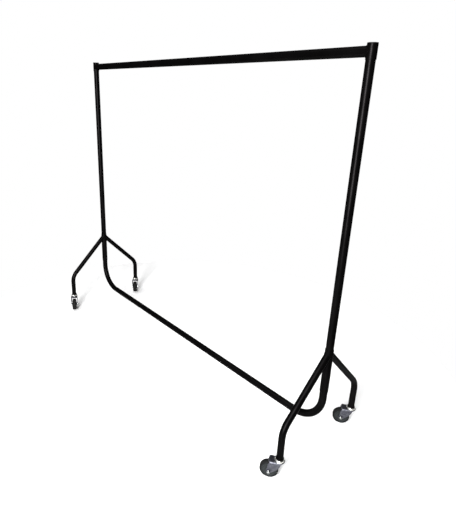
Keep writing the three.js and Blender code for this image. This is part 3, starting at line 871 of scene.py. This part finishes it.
def turned_steel(name, dark, light):
    """Zinc-plated steel with light turning marks."""
    finish = Finish(name, Metallic=1.0)
    blotch = finish.noise(0.005, 4)
    rings = finish.noise(0.0009, 2, finish.place((0.15, 0.15, 1)))
    finish.feed("Base Color", finish.mix(blotch, dark, light))
    finish.feed("Roughness", 0.16 + blotch * 0.12 + rings * 0.08)
    finish.bump(rings, 0.00003, 0.3)
    return finish.material


def hub_plastic():
    """Dark blue-grey moulded plastic: matt grain, flow marks round the hub, dust in the dish."""
    finish = Finish("grey moulded hub", Specular_IOR_Level=0.12)
    radius = finish.node("ShaderNodeAttribute", {"attribute_name": "axle_distance"}, output="Fac")
    cloud = finish.noise(0.01, 4)
    flow = finish.noise(0.0016, 2)
    dish = radius.between(0.012, 0.015) * (1 - radius.between(0.024, 0.028))
    body = finish.mix(cloud, (0.0048, 0.0062, 0.0066, 1), (0.0086, 0.0104, 0.0109, 1))
    finish.feed("Base Color", finish.mix(dish * cloud * 0.3, body, (0.028, 0.029, 0.029, 1)))
    finish.feed("Roughness", 0.4 + cloud * 0.15 + dish * 0.06)
    finish.bump(flow * 0.4 + finish.noise(0.0005, 2), 0.00005, 0.5)
    return finish.material


def tyre_rubber():
    """Black rubber: satin sidewalls, and a tread scuffed grey and dusty where it rolls."""
    finish = Finish("black tread rubber", Specular_IOR_Level=0.08)
    radius = finish.node("ShaderNodeAttribute", {"attribute_name": "axle_distance"}, output="Fac")
    grit = finish.noise(0.0012, 5, roughness=0.7)
    cloud = finish.noise(0.009, 3)
    tread = radius.between(WHEEL_RADIUS - 0.0012, WHEEL_RADIUS - 0.0003)
    wear = tread * (0.25 + grit.between(0.4, 0.65) * 0.75)
    body = finish.mix(cloud, (0.0022, 0.0023, 0.0025, 1), (0.004, 0.0041, 0.0044, 1))
    finish.feed("Base Color", finish.mix(wear * 0.55, body, (0.013, 0.0125, 0.012, 1)))
    finish.feed("Roughness", 0.5 + cloud * 0.12 + wear * 0.3)
    finish.bump(grit, 0.00012, 0.5)
    return finish.material


# ---------------------------------------------------------------- stage, light and camera

CAMERA_PLACE = Vector((1.7619, -1.3845, 1.4464))
CAMERA_TILT = 70.94
CAMERA_ROLL = -1.35
CAMERA_PAN = 50.72
CAMERA_LENS = 31.06
CAMERA_SHIFT = (0.064, -0.0204)
CAMERA_SENSOR = 36
FLOOR_RADIUS = 1.5
WORLD_SEEN = 1.0
WORLD_LIGHT = 0.16
SUN_TILT = (math.radians(16), math.radians(-12), 0)
SUN_STRENGTH = 2.1
SUN_SPREAD = math.radians(52)
WINDOW_AIM_Z = 1.6
WINDOW_SWING = math.radians(-14)
WINDOW_AWAY = 3.2
WINDOW_SIZE = (1.1, 2.6)
WINDOW_WATTS = 420
LAMP_TOWARDS = Vector((0.147, -0.699, 0.699))
LAMP_AWAY = 2.6
LAMP_SIZE = (0.3, 0.5)
LAMP_WATTS = 30


def stage():
    """A round white floor."""
    bpy.ops.object.select_all(action="DESELECT")
    bpy.ops.mesh.primitive_circle_add(vertices=96, radius=FLOOR_RADIUS, fill_type="NGON")
    floor = bpy.context.object
    floor.name = "floor"
    shade = (0.86, 0.86, 0.86, 1)
    pale = Finish("pale studio floor", Base_Color=shade, Roughness=0.9, Specular_IOR_Level=0.1)
    floor.data.materials.append(pale.material)


def panel_light(name, aim, towards, distance, size, watts):
    """A rectangular lamp that stands a distance away in a direction and faces what it is aimed at."""
    place = aim + towards.normalized() * distance
    bpy.ops.object.light_add(type="AREA", location=place)
    panel = bpy.context.object
    panel.name = name
    panel.rotation_euler = (place - aim).to_track_quat("Z", "Y").to_euler()
    panel.data.shape = "RECTANGLE"
    panel.data.size, panel.data.size_y = size
    panel.data.energy = watts


def lights():
    """A white surround that lights little, a wide sun overhead, and two lamps for the bright lines."""
    world = bpy.data.worlds.new("studio")
    bpy.context.scene.world = world
    world.use_nodes = True
    nodes, links = world.node_tree.nodes, world.node_tree.links
    background = nodes["Background"]
    background.inputs["Color"].default_value = (1, 1, 1, 1)
    ray = nodes.new("ShaderNodeLightPath")
    strength = nodes.new("ShaderNodeMapRange")
    strength.inputs["To Min"].default_value = WORLD_LIGHT
    strength.inputs["To Max"].default_value = WORLD_SEEN
    links.new(ray.outputs["Is Camera Ray"], strength.inputs["Value"])
    links.new(strength.outputs["Result"], background.inputs["Strength"])

    bpy.ops.object.light_add(type="SUN", rotation=SUN_TILT)
    overhead = bpy.context.object
    overhead.name = "overhead_light"
    overhead.data.energy = SUN_STRENGTH
    overhead.data.angle = SUN_SPREAD

    # A tall window beside the camera draws the bright line down the nearer upright.
    post_top = Vector((POST["right"].x, POST_Y, WINDOW_AIM_Z))
    towards_camera = CAMERA_PLACE - post_top
    swing = Matrix.Rotation(WINDOW_SWING, 3, "Z")
    level = swing @ Vector((towards_camera.x, towards_camera.y, 0))
    panel_light("window_light", post_top, level, WINDOW_AWAY, WINDOW_SIZE, WINDOW_WATTS)

    # A small high lamp in front does the same for the nearer sloping leg.
    leg_middle = Vector((POST["right"].x, POST_Y - LEG_OUT / 2, (LEG_JOINT_Z + KNEE_Z) / 2))
    panel_light("front_light", leg_middle, LAMP_TOWARDS, LAMP_AWAY, LAMP_SIZE, LAMP_WATTS)


def camera():
    data = bpy.data.cameras.new("camera")
    eye = bpy.data.objects.new("camera", data)
    bpy.context.scene.collection.objects.link(eye)
    eye.location = CAMERA_PLACE
    eye.rotation_euler = [math.radians(v) for v in (CAMERA_TILT, CAMERA_ROLL, CAMERA_PAN)]
    data.sensor_width = CAMERA_SENSOR
    data.lens = CAMERA_LENS
    data.shift_x, data.shift_y = CAMERA_SHIFT
    bpy.context.scene.camera = eye
    bpy.context.scene.view_settings.view_transform = "Standard"


# ---------------------------------------------------------------- the rack

camera()
stage()
lights()
FINISHES = {
    "black_paint": black_paint(),
    "black_plastic": black_plastic(),
    "zinc_plate": zinc_plate(),
    "bright_steel": turned_steel("bright plated steel", (0.60, 0.60, 0.57, 1), (0.78, 0.78, 0.74, 1)),
    "dull_steel": turned_steel("dull plated steel", (0.13, 0.135, 0.135, 1), (0.26, 0.265, 0.26, 1)),
    "hub_plastic": hub_plastic(),
    "tyre_rubber": tyre_rubber(),
}
hanging_rail(FINISHES["black_paint"])
posts(FINISHES["black_paint"], FINISHES["black_plastic"])
bottom_rail(FINISHES["black_paint"])
legs(FINISHES["black_paint"])
casters(FINISHES)
